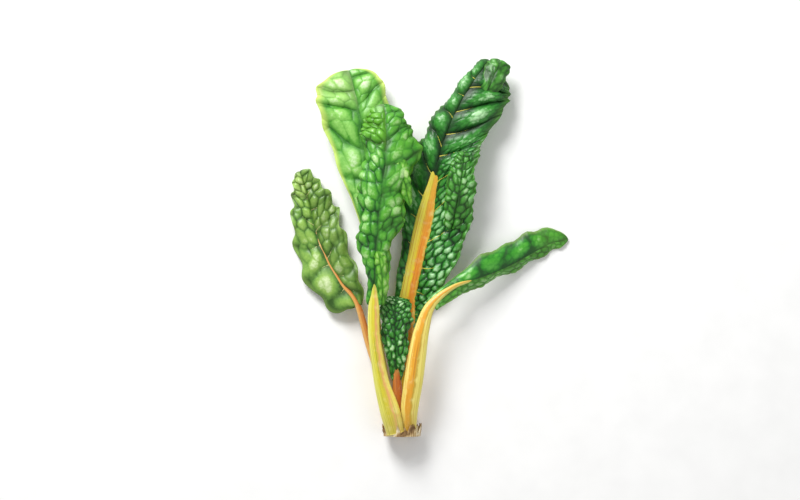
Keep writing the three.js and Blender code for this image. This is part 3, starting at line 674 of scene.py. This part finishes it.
class Nodes:
    """Short names for building one material's nodes."""

    def __init__(self, name):
        self.material = bpy.data.materials.new(name)
        self.material.use_nodes = True
        self.tree = self.material.node_tree
        self.shader = self.tree.nodes["Principled BSDF"]

    def add(self, kind, inputs=None, **settings):
        node = self.tree.nodes.new(kind)
        for key, value in settings.items():
            setattr(node, key, value)
        for key, value in (inputs or {}).items():
            self.put(node.inputs[key], value)
        return node

    def put(self, socket, value):
        if isinstance(value, bpy.types.NodeSocket):
            self.tree.links.new(value, socket)
        else:
            socket.default_value = value

    def mark(self, name):
        return self.add("ShaderNodeAttribute", attribute_name=name).outputs["Fac"]

    def math(self, operation, a, b=0.0, clamp=False):
        return self.add("ShaderNodeMath", {0: a, 1: b}, operation=operation, use_clamp=clamp).outputs[0]

    def span(self, value, low, high, to_low=0.0, to_high=1.0):
        inputs = {"Value": value, "From Min": low, "From Max": high, "To Min": to_low, "To Max": to_high}
        return self.add("ShaderNodeMapRange", inputs, interpolation_type="SMOOTHSTEP").outputs[0]

    def noise(self, scale, detail=3, vector=None):
        inputs = {"Scale": scale, "Detail": detail}
        inputs["Vector"] = vector or self.add("ShaderNodeTexCoord").outputs["Object"]
        return self.add("ShaderNodeTexNoise", inputs).outputs["Fac"]

    def ramp(self, value, stops):
        node = self.add("ShaderNodeValToRGB", {"Fac": value})
        elements = node.color_ramp.elements
        while len(elements) < len(stops):
            elements.new(1)
        for element, (place, colour) in zip(elements, stops):
            element.position = place
            element.color = linear(*colour)
        return node.outputs["Color"]

    def mix(self, share, a, b):
        node = self.add("ShaderNodeMix", data_type="RGBA")
        self.put(node.inputs["Factor"], share)
        self.put(node.inputs["A"], a)
        self.put(node.inputs["B"], b)
        return node.outputs["Result"]

    def middle(self, noise, to_low=0.0, to_high=1.0):
        return self.span(noise, *NOISE_MIDDLE, to_low, to_high)

    def finish(self, colour, roughness, bump=None, strength=0.3, distance=0.0005, coat=0.0, gloss=0.5):
        self.put(self.shader.inputs["Base Color"], colour)
        self.put(self.shader.inputs["Roughness"], roughness)
        self.shader.inputs["Specular IOR Level"].default_value = gloss
        self.shader.inputs["Coat Weight"].default_value = coat
        self.shader.inputs["Coat Roughness"].default_value = COAT_ROUGHNESS
        if bump is not None:
            inputs = {"Height": bump, "Strength": strength, "Distance": distance}
            node = self.add("ShaderNodeBump", inputs)
            self.put(self.shader.inputs["Normal"], node.outputs["Normal"])
        return self.material


# Blade colours, from painted shade at the bottom of a crease to a painted highlight on the top of a blister,
# then the edge and the underside.
# right is a colour and its share over the right half, painted side shading: darker on the left leaf, lighter
# on the others that use it; far the same over the left half near the tip.
BLADE_COLOURS = {
    "left_leaf": dict(ramp=[(46, 84, 18), (96, 142, 54), (140, 180, 80), (216, 232, 182)],
                      edge=(160, 198, 96), edge_share=0.35, under=(160, 190, 110),
                      right=((62, 92, 22), 0.4), far=((170, 186, 110), 0.25)),
    "tall_leaf": dict(ramp=[(36, 108, 18), (82, 156, 46), (138, 198, 94), (224, 240, 204)],
                      edge=(206, 230, 116), edge_share=0.85, under=(165, 200, 125),
                      right=((96, 164, 50), 0.2), far=((206, 226, 150), 0.2)),
    "front_leaf": dict(ramp=[(8, 66, 4), (42, 124, 22), (88, 164, 48), (184, 220, 152)], edge=(110, 182, 50),
                       edge_share=0.4, under=(130, 180, 95),
                       right=((84, 160, 40), 0.2), far=((104, 162, 22), 0.35)),
    "centre_leaf": dict(ramp=[(0, 46, 2), (12, 88, 12), (56, 138, 46), (176, 222, 166)], edge=(84, 150, 44),
                        edge_share=0.45, under=(110, 165, 90),
                        right=((20, 90, 16), 0.0), far=((70, 130, 60), 0.2)),
    "heart_leaf": dict(ramp=[(0, 46, 2), (14, 88, 12), (60, 140, 46), (204, 242, 188)], edge=(70, 140, 50),
                       edge_share=0.3, under=(110, 165, 90),
                       right=((20, 90, 16), 0.0), far=((30, 90, 20), 0.0)),
    "right_leaf": dict(ramp=[(8, 74, 4), (34, 126, 20), (74, 164, 46), (164, 212, 140)], edge=(150, 186, 96),
                       edge_share=0.45, under=(130, 180, 95),
                       right=((100, 150, 50), 0.3), far=((90, 140, 40), 0.3)),
}


# How blade colours follow the relief as painted shade in the creases and painted highlight on the blisters,
# the noises and the edge
BLADE_LOOK = dict(wash_scale=45, fine_scale=420, grain_scale=900, puff_from=0.1, relief_painted_light=0.8,
                  wash_tone=(-0.16, 0.2), cell_tone=(-0.04, 0.04), fine_tone=(-0.06, 0.06),
                  stops=(0.04, 0.38, 0.72, 1.0), far_from=(0.66, 0.8), edge_from=0.78, under_share=0.75,
                  roughness=(0.55, 0.32))
# young green for folds, also running from painted shade in the creases to a painted highlight on the blister
# tops
FRESH_RAMP = [(0.1, (70, 140, 24)), (0.6, (120, 188, 50)), (1.0, (196, 226, 130))]


def blade_shade_and_tone(n, puff):
    """Dark to light over a blade: painted shade and highlight from its relief, a broad wash, each blister's
    own tone and a grain.
    """
    look = BLADE_LOOK
    wash = n.middle(n.noise(look["wash_scale"], 4), *look["wash_tone"])
    fine = n.middle(n.noise(look["fine_scale"], 4), *look["fine_tone"])
    cell = n.span(n.mark("cell"), 0, 1, *look["cell_tone"])
    # the puff of the relief paints shade into the creases and a highlight onto the blister tops
    tone = n.math("ADD", n.span(puff, look["puff_from"], 1.0, 0.0, look["relief_painted_light"]), wash)
    return n.math("ADD", n.math("ADD", tone, cell), fine, clamp=True)


def blade_colour(n, look, tone):
    """A blade's colour: its ramp from painted crease shade to painted blister highlight, tinted on the right
    half as painted side shading, towards the tip, on folds, edge and underside.
    """
    # ramp from painted shade in the creases to a painted highlight on the blister tops
    colour = n.ramp(tone, list(zip(BLADE_LOOK["stops"], look["ramp"])))
    # painted side shading over the right half of the blade
    right, share = look["right"]
    colour = n.mix(n.math("MULTIPLY", n.mark("right"), share), colour, linear(*right))
    far, share = look["far"]
    left = n.math("SUBTRACT", 1.0, n.mark("right"))
    near_tip = n.math("MULTIPLY", n.span(n.mark("length"), *BLADE_LOOK["far_from"]), left)
    colour = n.mix(n.math("MULTIPLY", near_tip, share), colour, linear(*far))
    colour = n.mix(n.mark("fresh"), colour, n.ramp(tone, FRESH_RAMP))
    rim = n.math("MULTIPLY", n.span(n.mark("edge"), BLADE_LOOK["edge_from"], 1.0), look["edge_share"])
    colour = n.mix(rim, colour, linear(*look["edge"]))
    under = n.math("MULTIPLY", n.mark("under"), BLADE_LOOK["under_share"])
    return n.mix(under, colour, linear(*look["under"]))


def blade_material(name):
    n = Nodes(f"{name}_blade")
    puff = n.mark("puff")
    colour = blade_colour(n, BLADE_COLOURS[name], blade_shade_and_tone(n, puff))
    roughness = n.span(puff, 0, 1, *BLADE_LOOK["roughness"])
    grain = n.noise(BLADE_LOOK["grain_scale"], 3)
    return n.finish(colour, roughness, bump=grain, strength=0.25, distance=0.0004, coat=0.04, gloss=0.45)


# Stalk colours from its left side to its right side, with the centre stalk's orange right band partly painted
# shadow in its channel, then at its foot, on its rib and in its dark streaks
STALK_COLOURS = {
    "left_leaf": dict(
        ramp=[(0.1, (232, 178, 96)), (0.5, (222, 150, 70)), (0.9, (188, 108, 42))],
        foot=(214, 150, 80), rib=(214, 206, 140), line=(168, 96, 34)),
    "tall_leaf": dict(
        ramp=[(0.1, (226, 216, 96)), (0.5, (216, 204, 60)), (0.9, (206, 180, 70))],
        foot=(205, 180, 90), rib=(170, 200, 110), line=(150, 150, 30)),
    "front_leaf": dict(
        ramp=[(0.05, (226, 222, 100)), (0.3, (217, 205, 43)), (0.55, (214, 196, 60)), (0.72, (236, 164, 104)),
              (0.95, (244, 228, 96))],
        foot=(196, 172, 84), rib=(120, 176, 66), line=(150, 152, 24)),
    # centre stalk: yellow left band and an orange right band that is its own orange and partly painted shadow
    # in its channel
    "centre_leaf": dict(
        ramp=[(0.08, (246, 232, 84)), (0.4, (246, 222, 40)), (0.5, (238, 162, 36)), (0.85, (232, 142, 26)),
              (0.97, (244, 196, 60))],
        foot=(214, 118, 12), rib=(206, 200, 72), line=(206, 104, 14)),
    "heart_leaf": dict(
        ramp=[(0.1, (226, 140, 60)), (0.5, (214, 122, 40)), (0.9, (176, 86, 20))],
        foot=(200, 112, 40), rib=(120, 160, 60), line=(140, 62, 12)),
    "right_leaf": dict(
        ramp=[(0.04, (240, 222, 120)), (0.16, (234, 168, 42)), (0.5, (226, 160, 36)), (0.6, (190, 160, 44)),
              (0.74, (240, 226, 118)), (0.97, (236, 222, 100))],
        foot=(206, 176, 70), rib=(186, 204, 110), line=(186, 120, 20)),
}

# How stalk colours follow the streaks along it, the broad wash and the rib
STALK_LOOK = dict(streaks=22, streak_length=6, wash_scale=130, streak_drift=(-0.09, 0.09),
                  wash_drift=(-0.06, 0.06), foot_end=0.13, foot_share=0.55, green_share=0.8,
                  pale=(250, 240, 180), roughness=(0.32, 0.48))


def stalk_streaks(n, across, along):
    """A noise drawn out along the stalk."""
    x = n.math("MULTIPLY", across, STALK_LOOK["streaks"])
    y = n.math("MULTIPLY", along, STALK_LOOK["streak_length"])
    return n.noise(1.0, 5, n.add("ShaderNodeCombineXYZ", {"X": x, "Y": y}).outputs[0])


def stalk_material(name):
    colours = STALK_COLOURS[name]
    look = STALK_LOOK
    n = Nodes(f"{name}_stalk")
    across = n.span(n.mark("across"), -1, 1)
    along = n.mark("along")
    streak = stalk_streaks(n, across, along)
    wash = n.noise(look["wash_scale"], 4)
    streak_drift = n.span(streak, 0.25, 0.75, *look["streak_drift"])
    drift = n.math("ADD", streak_drift, n.middle(wash, *look["wash_drift"]))
    colour = n.ramp(n.math("ADD", across, drift, clamp=True), colours["ramp"])
    foot = n.span(along, 0.0, look["foot_end"], look["foot_share"], 0.0)
    colour = n.mix(foot, colour, linear(*colours["foot"]))
    groove = n.span(n.mark("groove"), 0.2, 1.0, 0.35, 1.0)
    dark = n.math("MULTIPLY", groove, n.span(streak, 0.47, 0.62, 0.0, 0.85))
    colour = n.mix(dark, colour, linear(*colours["line"]))
    colour = n.mix(n.span(wash, 0.5, 0.8, 0.0, 0.3), colour, linear(*look["pale"]))
    green = n.math("MULTIPLY", n.mark("green"), look["green_share"])
    colour = n.mix(green, colour, linear(*colours["rib"]))
    roughness = n.middle(streak, *look["roughness"])
    return n.finish(colour, roughness, bump=streak, strength=0.2, distance=0.0004, coat=0.2)


# Crown colours from its dark fibres to its pale ones, and at its rim
CROWN_RAMP = [(0.0, (120, 88, 50)), (0.35, (176, 142, 92)), (0.7, (214, 192, 144)), (1.0, (238, 226, 194))]
CROWN_RIM = (128, 94, 58)


def crown_material():
    n = Nodes("crown")
    wash = n.noise(90, 4)
    grain = n.noise(600, 4)
    fibre = n.span(n.mark("fibre"), -1, 1, -0.15, 0.15)
    tone = n.math("ADD", n.middle(wash), fibre, clamp=True)
    colour = n.ramp(tone, CROWN_RAMP)
    colour = n.mix(n.span(n.mark("length"), 0.75, 1.0, 0.0, 0.45), colour, linear(*CROWN_RIM))
    return n.finish(colour, n.middle(grain, 0.65, 0.9), bump=grain, strength=0.4, distance=0.0005)


def make_crown():
    crown = crown_piece(crown_material())
    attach(crown, "root")
    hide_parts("crown")


def make_leaves():
    for number, leaf in enumerate(LEAVES):
        stalk = stalk_piece(leaf, 10 * number, stalk_material(leaf["name"]))
        blade = blade_piece(leaf, 10 * number, blade_material(leaf["name"]))
        for piece, part in ((stalk, "stalk"), (blade, "blade")):
            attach(piece, "root")
            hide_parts(f"{leaf['name']}_{part}")


# Floor and lights, in metres and watts; a light's place is from the middle of the view
FLOOR_HALF = 4.0
FLOOR_DROP = 0.0002
LIGHTS = {
    "key": dict(place=(-0.55, 1.15, 1.0), size=0.7, power=30),
    "fill": dict(place=(1.2, -0.4, 1.3), size=1.2, power=3),
}
WORLD_STRENGTH = 0.5


def make_floor():
    half = FLOOR_HALF
    mesh = bpy.data.meshes.new("floor")
    corners = [(-half, -half, 0), (half, -half, 0), (half, half, 0), (-half, half, 0)]
    mesh.from_pydata(corners, [], [(0, 1, 2, 3)])
    n = Nodes("floor")
    grain = n.noise(30, 2)
    colour = n.ramp(grain, [(0.3, (246, 246, 245)), (0.7, (250, 250, 249))])
    mesh.materials.append(n.finish(colour, 0.9))
    floor = bpy.data.objects.new("floor", mesh)
    floor.location.z = -FLOOR_DROP
    bpy.context.scene.collection.objects.link(floor)


def aim(thing, target):
    thing.rotation_euler = (Vector(target) - thing.location).to_track_quat("-Z", "Y").to_euler()


def view_middle():
    return ORIGIN + np.array(VIEW_CENTRE_MM) * MM


def add_light(name, place, size, power):
    middle = view_middle()
    data = bpy.data.lights.new(name, "AREA")
    data.size = size
    data.energy = power
    light = bpy.data.objects.new(name, data)
    light.location = middle + np.array(place)
    aim(light, middle)
    bpy.context.scene.collection.objects.link(light)


def make_lights():
    for name, light in LIGHTS.items():
        add_light(name, **light)
    world = bpy.data.worlds.new("studio")
    world.use_nodes = True
    background = world.node_tree.nodes["Background"]
    background.inputs["Color"].default_value = (1, 1, 1, 1)
    background.inputs["Strength"].default_value = WORLD_STRENGTH
    bpy.context.scene.world = world
    bpy.context.scene.view_settings.view_transform = "Standard"


def make_camera():
    middle = view_middle()
    data = bpy.data.cameras.new("camera")
    data.sensor_width = SENSOR
    data.lens = SENSOR * (CAMERA_HEIGHT - middle[2]) / (FRAME_WIDTH_MM * MM)
    camera = bpy.data.objects.new("camera", data)
    camera.location = (middle[0], middle[1], CAMERA_HEIGHT)
    bpy.context.scene.collection.objects.link(camera)
    bpy.context.scene.camera = camera


make_camera()
make_lights()
make_floor()
make_leaves()
make_crown()
